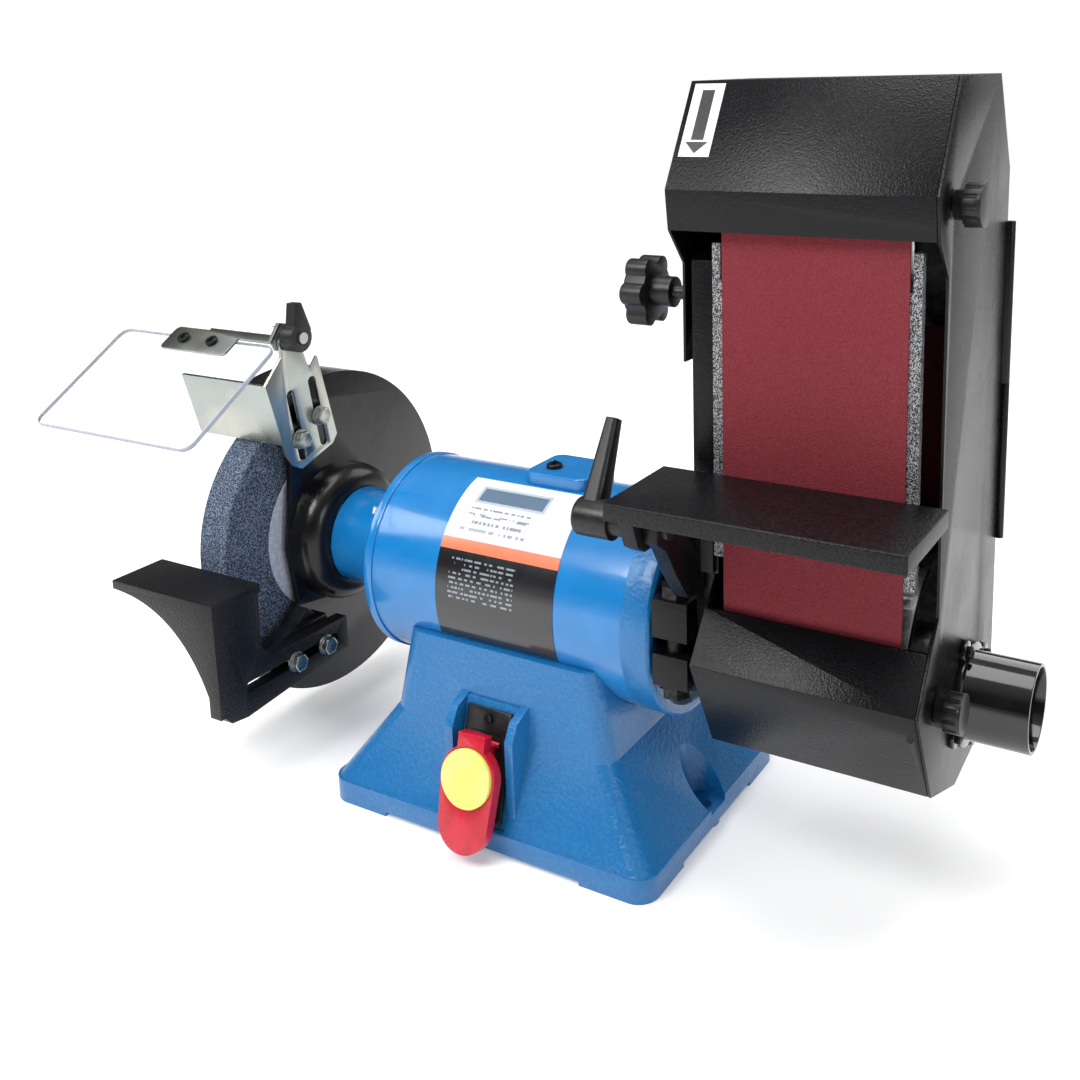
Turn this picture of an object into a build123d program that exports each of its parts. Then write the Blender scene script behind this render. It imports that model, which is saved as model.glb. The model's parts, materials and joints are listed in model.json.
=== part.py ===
from build123d import *
import os
from math import cos, pi, radians, sin

# Bench grinder with a belt sander arm.  Millimetres, +Z up, +X along the shaft towards the sander,
# -Y towards the operator.  The origin is the middle of the base's two bolt holes, on the bench.

# ---- driving dimensions -------------------------------------------------------------------------
shaft_z = 150.0                 # height of the shaft above the bench
base_w, base_d = 246.0, 193.0   # base flange
bolt_x = 112.0                  # bench bolt holes, each side of the origin
bolt_r = 5.5
foot_h = 3.0                    # relief between the four corner feet

motor_r = 68.0
shell_left, shell_right = -99.5, 91.8
cap_r = 69.0
cap_left, cap_right = -110.5, 110.7
neck_r, neck_end = 35.0, -166.0

wheel_r, wheel_w, wheel_x = 101.6, 25.4, -214.2   # 8 in wheel, 1 in wide
wheel_bore = 7.94                                 # 5/8 in arbor, radius
guard_r, guard_t = 119.0, 2.5
guard_in, guard_out = -190.5, -241.0              # the guard's two side planes
guard_from, guard_sweep = -133.0, 248.0           # guard arc, degrees from +Y towards +Z

belt_w, belt_len, belt_t = 101.6, 914.4, 1.2      # 4 in by 36 in belt
belt_x = 208.8
run_r = 64.0                                      # inside radius of the belt on both pulleys
pulley_gap = 0.3
idler_z = shaft_z + (belt_len - 2 * pi * run_r) / 2

sheet = 1.5                                       # housing sheet steel
house_left, house_low_left = 130.0, 148.0
door_in = 274.9
door_out = door_in + sheet
back_y = 68.0

table_top, table_t = 264.0, 10.0
table_pivot_y, table_pivot_z = -104.0, 241.0
shield_y, shield_z = -52.0, 309.0                 # eye shield pivot
slot_lean = 9.8                                   # lean of the deflector slots, degrees
switch_lean = 15.0
switch_y, switch_z = -83.0, 53.0
run_fit = 0.05                                    # radial clearance of shafts and pins that turn

os.makedirs("parts", exist_ok=True)


# ---- shared helpers -----------------------------------------------------------------------------
def save(builder, name):
    builder.part.label = name
    export_step(builder.part, f"parts/{name}.step")


def rod(x0, x1, r, y=0.0, z=shaft_z, mode=Mode.ADD):
    """round bar along X"""
    with BuildSketch(Plane.YZ.offset(x0)) as section:
        with Locations((y, z)):
            Circle(r)
    extrude(section.sketch, amount=x1 - x0, mode=mode)


def upright(z0, z1, r, x, y, mode=Mode.ADD):
    """round bar along Z"""
    with BuildSketch(Plane.XY.offset(z0)) as section:
        with Locations((x, y)):
            Circle(r)
    extrude(section.sketch, amount=z1 - z0, mode=mode)


def block(x0, x1, y0, y1, z0, z1, mode=Mode.ADD):
    with Locations(((x0 + x1) / 2, (y0 + y1) / 2, (z0 + z1) / 2)):
        Box(x1 - x0, y1 - y0, z1 - z0, mode=mode)


def profile(x0, x1, points, mode=Mode.ADD):
    """polygon given as (y, z) points, extruded along X"""
    with BuildSketch(Plane.YZ.offset(x0)) as section:
        with BuildLine():
            Polyline(*points, close=True)
        make_face()
    extrude(section.sketch, amount=x1 - x0, mode=mode)


def turned(points, z=shaft_z, mode=Mode.ADD):
    """solid of revolution about an X axis, from (x, radius) points"""
    with BuildSketch(Plane.XZ) as section:
        with BuildLine():
            Polyline(*[(x, z + r) for x, r in points], close=True)
        make_face()
    revolve(section.sketch, Axis((0, 0, z), (1, 0, 0)), mode=mode)


def arc_band(x0, x1, r_in, r_out, start, sweep, mode=Mode.ADD):
    """part of a ring about the shaft, extruded along X"""
    with BuildSketch(Plane.YZ.offset(x0)) as section:
        with BuildLine():
            outer = CenterArc((0, shaft_z), r_out, start, sweep)
            inner = CenterArc((0, shaft_z), r_in, start, sweep)
            Line(outer @ 0, inner @ 0)
            Line(outer @ 1, inner @ 1)
        make_face()
    extrude(section.sketch, amount=x1 - x0, mode=mode)


def hexagon(x0, x1, across, y, z):
    with BuildSketch(Plane.YZ.offset(x0)) as section:
        with Locations((y, z)):
            RegularPolygon(across / 2, 6, major_radius=False)
    extrude(section.sketch, amount=x1 - x0)


def on_circle(r, angle, z=shaft_z):
    return r * cos(radians(angle)), z + r * sin(radians(angle))


def loft_rect(z0, size0, r0, z1, size1, r1, mode=Mode.ADD):
    """tapered block between two rounded rectangles"""
    with BuildSketch(Plane.XY.offset(z0)) as low:
        RectangleRounded(*size0, r0)
    with BuildSketch(Plane.XY.offset(z1)) as high:
        RectangleRounded(*size1, r1)
    loft([low.sketch.faces()[0], high.sketch.faces()[0]], mode=mode)


lean = radians(switch_lean)
switch_plane = Plane(origin=(0, switch_y, switch_z), x_dir=(1, 0, 0), z_dir=(0, -cos(lean), sin(lean)))

# ---- base ---------------------------------------------------------------------------------------
waist_z, pedestal_z = 67.0, 123.0
flange_t, pad_z = 16.0, 12.0
waist = (168.0, 144.0)
rib_in, rib_out = 20.0, 26.0

with BuildPart() as base_casting:
    with BuildSketch():
        RectangleRounded(base_w, base_d, 14)
    extrude(amount=flange_t)
    loft_rect(flange_t, (base_w - 3, base_d - 3), 13, waist_z, waist, 12)
    loft_rect(waist_z, waist, 12, pedestal_z, (144, 137), 12)
    with BuildSketch(switch_plane.offset(-24)):
        Rectangle(2 * rib_out, 78)
    extrude(amount=24)
    for side in (-1, 1):
        profile(side * 23 - 3, side * 23 + 3, [(-60, 92), (-71, 92), (-84, 87), (-90.5, 76),
                                               (-90.5, 16), (-60, 16)])
    with BuildSketch(switch_plane):
        with Locations((0, 6)):
            Rectangle(2 * rib_in, 88)
    extrude(amount=30, mode=Mode.SUBTRACT)
    with BuildSketch(switch_plane.offset(-60)):
        Rectangle(25, 42)
    extrude(amount=61, mode=Mode.SUBTRACT)
    loft_rect(-1, (184, 168), 10, 62, (126, 116), 10, mode=Mode.SUBTRACT)
    rod(-130, 130, motor_r + 0.1, mode=Mode.SUBTRACT)
    block(-75, 75, -base_d, base_d, -1, foot_h, mode=Mode.SUBTRACT)
    block(-base_w, base_w, -50, 50, -1, foot_h, mode=Mode.SUBTRACT)
    for side in (-1, 1):
        upright(pad_z, waist_z + 20, 15, side * bolt_x, 0, mode=Mode.SUBTRACT)
        upright(0, pad_z, bolt_r + 5, side * bolt_x, 0)
        upright(-1, flange_t, bolt_r, side * bolt_x, 0, mode=Mode.SUBTRACT)
    with BuildSketch(Plane.XZ.offset(-60)):
        with Locations((45, 36)):
            Circle(8)
    extrude(amount=-40, mode=Mode.SUBTRACT)
save(base_casting, "base_casting")

plate_z0 = foot_h + 1.0
with BuildPart() as base_plate:
    with BuildSketch(Plane.XY.offset(plate_z0)):
        RectangleRounded(176, 158, 8)
    extrude(amount=1.5)
    with GridLocations(150, 130, 2, 2):
        Hole(2.2)
save(base_plate, "base_plate")

with BuildPart() as plate_screws:
    with BuildSketch(Plane.XY.offset(plate_z0 + 1.5)):
        with GridLocations(150, 130, 2, 2):
            Circle(3.5)
    extrude(amount=1.6)
    with BuildSketch(Plane.XY.offset(plate_z0 - 1.0)):
        with GridLocations(150, 130, 2, 2):
            Circle(2.1)
    extrude(amount=3.0)
save(plate_screws, "base_plate_screws")

with BuildPart() as cable_gland:
    with BuildSketch(Plane.XZ.offset(-62)):
        with Locations((45, 36)):
            Circle(7.9)
    extrude(amount=-36)
    with BuildSketch(Plane.XZ.offset(-93.5)):
        with Locations((45, 36)):
            RegularPolygon(11, 6)
    extrude(amount=-6)
    with BuildSketch(Plane.XZ.offset(-60)):
        with Locations((45, 36)):
            Circle(4.5)
    extrude(amount=-60, mode=Mode.SUBTRACT)
save(cable_gland, "cable_gland")

# ---- motor --------------------------------------------------------------------------------------
with BuildPart() as motor_shell:
    rod(shell_left, shell_right, motor_r)
    rod(shell_left, shell_right, motor_r - 3, mode=Mode.SUBTRACT)
save(motor_shell, "motor_shell")

bearing_r, bearing_bore, bearing_w = 23.5, 10.0, 14.0
left_bearing_x, right_bearing_x = -160.0, 126.0
tie_angles = (45, 135, 225, 315)

with BuildPart() as left_end_cap:
    turned([(cap_left + 3, neck_r), (cap_left, cap_r - 9), (cap_left + 2, cap_r - 3), (cap_left + 5, cap_r),
            (shell_left, cap_r), (shell_left, motor_r - 8), (cap_left + 8, motor_r - 12),
            (cap_left + 8, bearing_r), (neck_end, bearing_r), (neck_end, neck_r)])
    for angle in tie_angles:
        rod(cap_left - 5, cap_left + 9, 6, *on_circle(52, angle))
        rod(cap_left - 6, cap_left + 12, 2.6, *on_circle(52, angle), mode=Mode.SUBTRACT)
save(left_end_cap, "left_end_cap")

flange_seat = cap_right - 6
with BuildPart() as right_end_cap:
    turned([(shell_right, motor_r - 8), (shell_right, cap_r), (cap_right - 2, cap_r),
            (cap_right, cap_r - 2),
            (cap_right, cap_r - 7), (flange_seat, cap_r - 9), (flange_seat, 28),
            (flange_seat - 6, 28), (flange_seat - 6, motor_r - 8)])
    for angle in tie_angles:
        rod(flange_seat - 8, flange_seat, 6, *on_circle(52, angle))
        rod(flange_seat - 9, flange_seat + 2, 2.6, *on_circle(52, angle), mode=Mode.SUBTRACT)
    for angle in (-80, 80):
        rod(cap_right - 3, cap_right + 1.5, 4, *on_circle(cap_r - 5, angle))
save(right_end_cap, "right_end_cap")

with BuildPart() as tie_bolts:
    for angle in tie_angles:
        y, z = on_circle(52, angle)
        rod(cap_left - 5, flange_seat + 3, 2.5, y, z)
        hexagon(cap_left - 9, cap_left - 5, 8, y, z)
        hexagon(flange_seat, flange_seat + 4, 8, y, z)
save(tie_bolts, "tie_bolts")

with BuildPart() as top_cover:
    with BuildSketch(Plane.XY.offset(shaft_z + 62)):
        with Locations((13, 8)):
            RectangleRounded(48, 44, 8)
    extrude(amount=13)
    fillet(top_cover.edges().group_by(Axis.Z)[-1], 1.5)
    rod(-20, 50, motor_r + 0.05, mode=Mode.SUBTRACT)
    upright(shaft_z + 60, shaft_z + 76, 2.1, 4, 2, mode=Mode.SUBTRACT)
save(top_cover, "top_cover")

with BuildPart() as top_cover_screw:
    upright(shaft_z + 75, shaft_z + 78, 5.5, 4, 2)
    fillet(top_cover_screw.edges().group_by(Axis.Z)[-1], 1.5)
    block(-2, 10, 1.4, 2.6, shaft_z + 77, shaft_z + 79, mode=Mode.SUBTRACT)
    upright(shaft_z + motor_r + 0.6, shaft_z + 75, 2.0, 4, 2)

label_from, label_to = 104.0, 202.0     # degrees from +Y towards +Z: over the top front of the shell
with BuildPart() as rating_label:
    arc_band(-46, 44, motor_r + 0.02, motor_r + 0.4, label_from, label_to - label_from)
save(rating_label, "rating_label")

stator_half = 45.0
with BuildPart() as stator_core:
    rod(-stator_half, stator_half, motor_r - 3.05)
    rod(-stator_half, stator_half, 40, mode=Mode.SUBTRACT)
    for angle in tie_angles:
        rod(-stator_half, stator_half, 3.2, *on_circle(52, angle), mode=Mode.SUBTRACT)
save(stator_core, "stator_core")

with BuildPart() as stator_windings:
    for side in (-1, 1):
        near, far = side * stator_half, side * (stator_half + 24)
        turned([(near, 41), (near, 48.5), (far - side * 4, 48.5), (far, 46), (far, 43),
                (far - side * 4, 41)])
save(stator_windings, "stator_windings")

with BuildPart() as run_capacitor:
    with BuildSketch(Plane.YZ.offset(-52)):
        with Locations((18, 32)):
            Circle(20)
    extrude(amount=92)
    fillet(run_capacitor.edges(), 2)
save(run_capacitor, "run_capacitor")


def bearing(x0):
    with BuildPart() as body:
        turned([(x0, bearing_bore), (x0, 14), (x0 + 1, 14), (x0 + 1, 20), (x0, 20), (x0, bearing_r),
                (x0 + bearing_w, bearing_r), (x0 + bearing_w, 20), (x0 + bearing_w - 1, 20),
                (x0 + bearing_w - 1, 14), (x0 + bearing_w, 14), (x0 + bearing_w, bearing_bore)])
    return body


with BuildPart() as motor_bearings:
    add(bearing(left_bearing_x).part)
    add(bearing(right_bearing_x).part)
save(motor_bearings, "motor_bearings")

adapter_r, adapter_end = 38.0, 146.0
with BuildPart() as arm_adapter:
    turned([(flange_seat, bearing_bore + 4), (flange_seat, 47), (flange_seat + 6, 47),
            (flange_seat + 6, adapter_r),
            (adapter_end, adapter_r), (adapter_end, 14), (right_bearing_x + bearing_w, 14),
            (right_bearing_x + bearing_w, bearing_r), (right_bearing_x, bearing_r), (right_bearing_x, 14)])
    for angle in (0, 90, 180, 270):
        rod(flange_seat - 1, flange_seat + 7, 2.6, *on_circle(42.6, angle), mode=Mode.SUBTRACT)
save(arm_adapter, "arm_adapter")

# ---- spindle ------------------------------------------------------------------------------------
shaft_left, shoulder_x, shaft_right = -247.0, -192.0, 270.0
blotter_t, wheel_flange_t = 0.8, 7.0
wheel_out, wheel_in = wheel_x - wheel_w / 2, wheel_x + wheel_w / 2
arbor = wheel_bore - run_fit
pulley_l, pulley_r = belt_x - belt_w / 2 - 1, belt_x + belt_w / 2 + 1

with BuildPart() as motor_shaft:
    turned([(shaft_left, 0), (shaft_left, arbor - 1), (shaft_left + 1, arbor), (shoulder_x, arbor),
            (shoulder_x, bearing_bore - 0.02), (-145, bearing_bore - 0.02), (-145, 12.5), (125, 12.5),
            (125, bearing_bore - 0.02), (pulley_r, bearing_bore - 0.02), (pulley_r, arbor),
            (shaft_right - 1, arbor), (shaft_right, arbor - 1), (shaft_right, 0)])
save(motor_shaft, "motor_shaft")

with BuildPart() as rotor:
    rod(-stator_half, stator_half, 39.4)
    for side in (-1, 1):
        near, far = side * stator_half, side * (stator_half + 9)
        turned([(near, 30), (near, 37), (far, 37), (far, 30)])
    rod(-60, 60, 12.52, mode=Mode.SUBTRACT)
save(rotor, "rotor")

with BuildPart() as cooling_fan:
    rod(74, 77, 46)
    rod(74, 88, 18)
    for blade in range(9):
        turn = 40 * blade
        with BuildSketch(Plane.YZ.offset(77)) as vane:
            with Locations(Location((0, shaft_z), turn)):
                with Locations((31, 0)):
                    Rectangle(28, 1.6)
        extrude(vane.sketch, amount=9)
    rod(70, 90, 12.52, mode=Mode.SUBTRACT)
save(cooling_fan, "cooling_fan")

with BuildPart() as grinding_wheel:
    rod(wheel_out, wheel_in, wheel_r)
    chamfer(grinding_wheel.edges().filter_by(GeomType.CIRCLE), 1)
    rod(wheel_out, wheel_in, wheel_bore, mode=Mode.SUBTRACT)
save(grinding_wheel, "grinding_wheel")

with BuildPart() as wheel_blotters:
    for x0 in (wheel_out - blotter_t, wheel_in):
        rod(x0, x0 + blotter_t, 61)
        rod(x0, x0 + blotter_t, wheel_bore, mode=Mode.SUBTRACT)
save(wheel_blotters, "wheel_blotters")

flange_in, flange_out = wheel_in + blotter_t, wheel_out - blotter_t
with BuildPart() as wheel_flanges:
    turned([(flange_in, wheel_bore), (flange_in + 1.5, wheel_bore), (flange_in + 1.5, 28), (flange_in, 28),
            (flange_in, 38), (flange_in + 4, 38), (flange_in + wheel_flange_t, 22),
            (shoulder_x, wheel_bore)])
    turned([(flange_out, wheel_bore), (flange_out - 1.5, wheel_bore), (flange_out - 1.5, 28),
            (flange_out, 28),
            (flange_out, 38), (flange_out - 3, 38), (flange_out - 6, 22),
            (flange_out - 6, wheel_bore)])
save(wheel_flanges, "wheel_flanges")

with BuildPart() as spindle_nuts:
    hexagon(flange_out - 6 - 9, flange_out - 6, 24, 0, shaft_z)
    hexagon(pulley_r, pulley_r + 7, 24, 0, shaft_z)
    rod(shaft_left, shaft_right, wheel_bore, mode=Mode.SUBTRACT)
save(spindle_nuts, "spindle_nuts")

rim_r = run_r - pulley_gap


def pulley(bore, z):
    """crowned pulley: rim, web and long hub"""
    with BuildPart() as body:
        turned([(pulley_l, bore), (pulley_l, 18), (belt_x - 6, 18), (belt_x - 6, rim_r - 7),
                (pulley_l, rim_r - 7),
                (pulley_l, rim_r - 0.6), (belt_x, rim_r), (pulley_r, rim_r - 0.6), (pulley_r, rim_r - 7),
                (belt_x + 6, rim_r - 7), (belt_x + 6, 18), (pulley_r, 18), (pulley_r, bore)], z=z)
    return body


save(pulley(bearing_bore, shaft_z), "drive_pulley")

# ---- wheel guard --------------------------------------------------------------------------------
wall_t = 4.5
boss_face = -178.0
rest_face = -176.2
deflector_bolt_at = ((-48.8, 235.0), (-28.4, 247.1))
rest_bolt_at = ((-78.0, 82.0), (-48.0, 82.0))

with BuildPart() as guard_casting:
    with BuildSketch(Plane.YZ.offset(guard_in - wall_t)):
        with BuildLine():
            rim = CenterArc((0, shaft_z), guard_r, guard_from, guard_sweep)
            Polyline(rim @ 1, (-44, 205), (-52, 150), (-46, 108), (-88, 78), rim @ 0)
        make_face()
    extrude(amount=wall_t)
    rod(guard_in, guard_in + 24, 51)
    fillet(guard_casting.edges().filter_by(GeomType.CIRCLE).sort_by(Axis.X)[-1], 15)
    profile(guard_in, rest_face, [(-92, 72), (-92, 92), (-70, 98), (-34, 98), (-30, 70)])
    profile(guard_in, guard_in + 9, [(-47, 106), (-84, 80), (-90, 72), (-84, 70), (-40, 99)])
    for y, z in deflector_bolt_at:
        rod(guard_in, boss_face, 9, y, z)
    rod(guard_in - wall_t, guard_in + 16, 43, mode=Mode.SUBTRACT)
    rod(guard_in, guard_in + 30, neck_r + 0.05, mode=Mode.SUBTRACT)
    for y, z in deflector_bolt_at + rest_bolt_at:
        rod(guard_in - wall_t, rest_face + 5, 3.3, y, z, mode=Mode.SUBTRACT)
save(guard_casting, "guard_casting")

with BuildPart() as guard_band:
    arc_band(guard_out, guard_in - wall_t, guard_r - guard_t, guard_r, guard_from, guard_sweep)
save(guard_band, "guard_band")

with BuildPart() as guard_cover:
    with BuildSketch(Plane.YZ.offset(guard_out - 2)):
        with BuildLine():
            rim = CenterArc((0, shaft_z), guard_r, guard_from, guard_sweep)
            Polyline(rim @ 1, (-42, 205), (-46, 150), (-44, 108), rim @ 0)
        make_face()
    extrude(amount=2)
    rod(guard_out - 9, guard_out, 28)
    fillet(guard_cover.edges().filter_by(GeomType.CIRCLE).sort_by(Axis.X)[0], 5)
    rod(guard_out - 7.5, guard_out + 1, 24, mode=Mode.SUBTRACT)
save(guard_cover, "guard_cover")

with BuildPart() as guard_screws:
    for angle in (-110, -20, 60):
        y, z = on_circle(guard_r - 7, angle)
        rod(guard_out - 5, guard_out - 2, 5, y, z)
save(guard_screws, "guard_screws")


def hex_bolt(face, y, z, reach):
    """M6 bolt with washer, head on +X of the face"""
    rod(face, face + 1.2, 7, y, z)
    hexagon(face + 1.2, face + 6, 11, y, z)
    rod(face - reach, face, 3.0, y, z)


rest_arm_t = 10.0
with BuildPart() as rest_bolts:
    for y, z in rest_bolt_at:
        hex_bolt(rest_face + rest_arm_t + 0.3, y, z, rest_arm_t + 16)
save(rest_bolts, "rest_bolts")

bracket_t = 2.5
with BuildPart() as deflector_bolts:
    for y, z in deflector_bolt_at:
        hex_bolt(boss_face + bracket_t + 0.6, y, z, 16)
save(deflector_bolts, "deflector_bolts")

# ---- tool rest ----------------------------------------------------------------------------------
rest_in, rest_out = rest_face + rest_arm_t, -262.0
rest_back, rest_front = -wheel_r - 3.0, -147.0
slot_front, slot_back = -124.0, -34.0

with BuildPart() as tool_rest:
    block(rest_out, rest_in, rest_front, rest_back, shaft_z - 6, shaft_z)
    with BuildSketch(Plane.XZ.offset(-rest_front)):
        with BuildLine():
            Polyline((rest_out, shaft_z - 6), (rest_in, shaft_z - 6), (rest_in, 70), (rest_face, 70),
                     (rest_face, 84))
            Spline((rest_face, 84), (-212, 130), (rest_out, shaft_z - 6))
        make_face()
    extrude(amount=-10)
    profile(rest_face, rest_in, [(rest_front, shaft_z - 4), (rest_front, 74), (-138, 64), (-124, 62),
                                 (-24, 70),
                                 (-24, 94), (-100, 96), (-108, 106), (rest_back - 2, shaft_z - 4)])
    fillet(tool_rest.edges().filter_by(Axis.X).group_by(Axis.Z)[0], 8)
    with BuildSketch(Plane.YZ.offset(rest_face)) as slot:
        with Locations(((slot_front + slot_back) / 2, 82)):
            SlotOverall(slot_back - slot_front, 7.4)
    extrude(amount=rest_arm_t, mode=Mode.SUBTRACT)
save(tool_rest, "tool_rest")

# ---- spark deflector bracket --------------------------------------------------------------------
plate_in, plate_out = boss_face + 0.3, boss_face + 0.3 + bracket_t
with BuildPart() as spark_deflector:
    profile(plate_in, plate_out, [(-62, 226), (-56, 217), (-48, 213), (-16, 223), (-11, 229), (-26, 290),
                                  (-34, 281), (shield_y + 9, shield_z - 3), (shield_y, shield_z + 9),
                                  (shield_y - 9, shield_z - 2), (-60, 296), (-77, 279)])
    profile(-256, plate_out, [(-64.5, 234), (-62.5, 234.6), (-75, 279.6), (-77, 279)])
    for y, z in ((-50.5, 245.0), (-29.0, 250.4)):
        with BuildSketch(Plane.YZ.offset(plate_in)) as slot:
            with Locations(Location((y, z), 90 + slot_lean)):
                SlotOverall(53, 7.4)
        extrude(slot.sketch, amount=bracket_t, mode=Mode.SUBTRACT)
    rod(plate_in, plate_out, 4.05, shield_y, shield_z, mode=Mode.SUBTRACT)
save(spark_deflector, "spark_deflector")

clamp_x0 = plate_in - 3.4
with BuildPart() as shield_pivot:
    rod(clamp_x0 - 4, -161, 4.0, shield_y, shield_z)
    hexagon(clamp_x0 - 6, clamp_x0 - 1, 13, shield_y, shield_z)
save(shield_pivot, "shield_pivot")

# ---- eye shield ---------------------------------------------------------------------------------
shield_tilt = 31.5       # degrees that the rest pose drops towards the front
shield_t = 3.5
tilt_plane = Plane(origin=(0, shield_y, shield_z), x_dir=(1, 0, 0),
                   z_dir=(0, -sin(radians(shield_tilt)), cos(radians(shield_tilt))))
shield_x0, shield_x1 = -326.0, -173.5
shield_v0, shield_v1 = -111.0, -14.0
shield_clamp_x, clamp_v = -241.0, -19.0
clamp_screw_x = (-257.0, -229.0)
ear_plane = Plane(origin=(clamp_x0, shield_y, shield_z),
                  x_dir=(0, cos(radians(shield_tilt)), sin(radians(shield_tilt))),
                  z_dir=(1, 0, 0))

with BuildPart() as shield_arm:
    with BuildSketch(tilt_plane.offset(shield_t + 1)):
        with Locations((shield_clamp_x, clamp_v)):
            RectangleRounded(64, 22, 4)
        with Locations(((shield_clamp_x + clamp_x0 + 2.8) / 2, -9.6)):
            Rectangle(clamp_x0 + 2.8 - shield_clamp_x, 7.2)
    extrude(amount=1.6)
    with BuildSketch(ear_plane):
        with BuildLine():
            Polyline((-12.7, 6.1), (1.1, 11.1), (10, 2.3), (6, -8), (-5.6, -8.8), (-12.2, -2.7),
                     (-11.8, 4.4),
                     close=True)
        make_face()
    extrude(amount=2.8)
    rod(clamp_x0 - 1, clamp_x0 + 4, 4.0 + run_fit, shield_y, shield_z, mode=Mode.SUBTRACT)
save(shield_arm, "shield_arm")

with BuildPart() as eye_shield:
    with BuildSketch(tilt_plane.offset(1)):
        with Locations(((shield_x0 + shield_x1) / 2, (shield_v0 + shield_v1) / 2)):
            RectangleRounded(shield_x1 - shield_x0, shield_v1 - shield_v0, 8)
    extrude(amount=shield_t - 0.05)
save(eye_shield, "eye_shield")

with BuildPart() as shield_screws:
    for x in clamp_screw_x:
        with BuildSketch(tilt_plane.offset(shield_t + 2.6)):
            with Locations((x, clamp_v)):
                Circle(4.5)
        extrude(amount=2.5)
save(shield_screws, "shield_screws")

with BuildPart() as wing_knob:
    rod(plate_out + 1, -163, 10, shield_y, shield_z)
    profile(-172, -164, [(shield_y - 6, shield_z + 6), (shield_y - 3, shield_z + 24),
                         (shield_y + 3, shield_z + 24),
                         (shield_y + 11, shield_z + 4), (shield_y + 4, shield_z - 2)])
    rod(plate_out, -160, 4.0 + run_fit, shield_y, shield_z, mode=Mode.SUBTRACT)
save(wing_knob, "wing_knob")

# ---- paddle switch ------------------------------------------------------------------------------
bezel_t = 3.0
hinge_half, hinge_r = 10.0, 2.0
hinge_at = switch_plane.from_local_coords(Vector(0, 14, 2))
paddle_hinge = (hinge_at.Y, hinge_at.Z)
with BuildPart() as switch_bezel:
    with BuildSketch(switch_plane):
        Rectangle(34, 70)
    extrude(amount=bezel_t)
    chamfer(switch_bezel.faces().sort_by(Axis.Y)[0].edges(), 0.8)
    with BuildSketch(switch_plane):
        Rectangle(23, 40)
    extrude(amount=bezel_t, mode=Mode.SUBTRACT)
save(switch_bezel, "switch_bezel")

with BuildPart() as switch_body:
    with BuildSketch(switch_plane.offset(-34)):
        Rectangle(22.6, 39.6)
    extrude(amount=37)
    with BuildSketch(switch_plane.offset(-6)):
        Rectangle(17, 34)
    extrude(amount=12, mode=Mode.SUBTRACT)
    rod(-hinge_half - 0.3, hinge_half + 0.3, hinge_r + run_fit, *paddle_hinge, mode=Mode.SUBTRACT)
    with BuildSketch(switch_plane.offset(-42)):
        with GridLocations(10, 20, 2, 2):
            Rectangle(1, 6.3)
    extrude(amount=8)
save(switch_body, "switch_body")

with BuildPart() as cover_screws:
    add(top_cover_screw.part)
    for v in (29, -29):
        with BuildSketch(switch_plane.offset(bezel_t)):
            with Locations((0, v)):
                Circle(3.4)
        extrude(amount=1.8)
save(cover_screws, "cover_screws")

paddle_low, key_v, key_r, paddle_half = -52.0, -5.0, 18.5, 20.3
paddle_under, paddle_top = 12.0, 20.0
with BuildPart() as switch_paddle:
    with BuildSketch(switch_plane.offset(paddle_under)):
        with Locations((0, -6)):
            Rectangle(20, 56)
        with Locations((0, key_v)):
            Circle(paddle_half)
        with Locations((0, paddle_low + 18.5)):
            Circle(18.5)
        with BuildLine():
            Polyline((-paddle_half, key_v), (paddle_half, key_v), (18.5, paddle_low + 18.5),
                     (-18.5, paddle_low + 18.5), close=True)
        make_face()
    extrude(amount=paddle_top - paddle_under)
    with BuildSketch(switch_plane.offset(-5)):
        with Locations((0, 8)):
            Rectangle(15, 12)
    extrude(amount=paddle_under + 5)
    rod(-hinge_half, hinge_half, hinge_r, *paddle_hinge)
    with BuildSketch(switch_plane.offset(paddle_top - 4.3)):
        with Locations((0, key_v)):
            Circle(key_r + 0.3)
    extrude(amount=5, mode=Mode.SUBTRACT)
    with BuildSketch(switch_plane.offset(paddle_under - 1)):
        with Locations((0, key_v)):
            Rectangle(9.6, 5.6)
    extrude(amount=8, mode=Mode.SUBTRACT)
save(switch_paddle, "switch_paddle")

with BuildPart() as safety_key:
    with BuildSketch(switch_plane.offset(paddle_top - 4)):
        with Locations((0, key_v)):
            Circle(key_r)
    extrude(amount=7)
    fillet(safety_key.edges().sort_by(Axis.Y)[0], 1.5)
    with BuildSketch(switch_plane.offset(paddle_under + 0.5)):
        with Locations((0, key_v)):
            Rectangle(9, 5)
    extrude(amount=4)
save(safety_key, "safety_key")

# ---- sander arm ---------------------------------------------------------------------------------
arm_x0, arm_x1 = 136.0, 148.0
hub_x0 = 113.0
hub_in, hub_out = adapter_r + 0.05, 52.0
ear_y = -68.0
clamp_x, clamp_y = 124.0, -59.0
carriage_x0, carriage_x1 = 148.6, 155.0
spring_z0, spring_z1 = 350.0, 384.0
knob_y, knob_z = -30.0, 356.0

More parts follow.
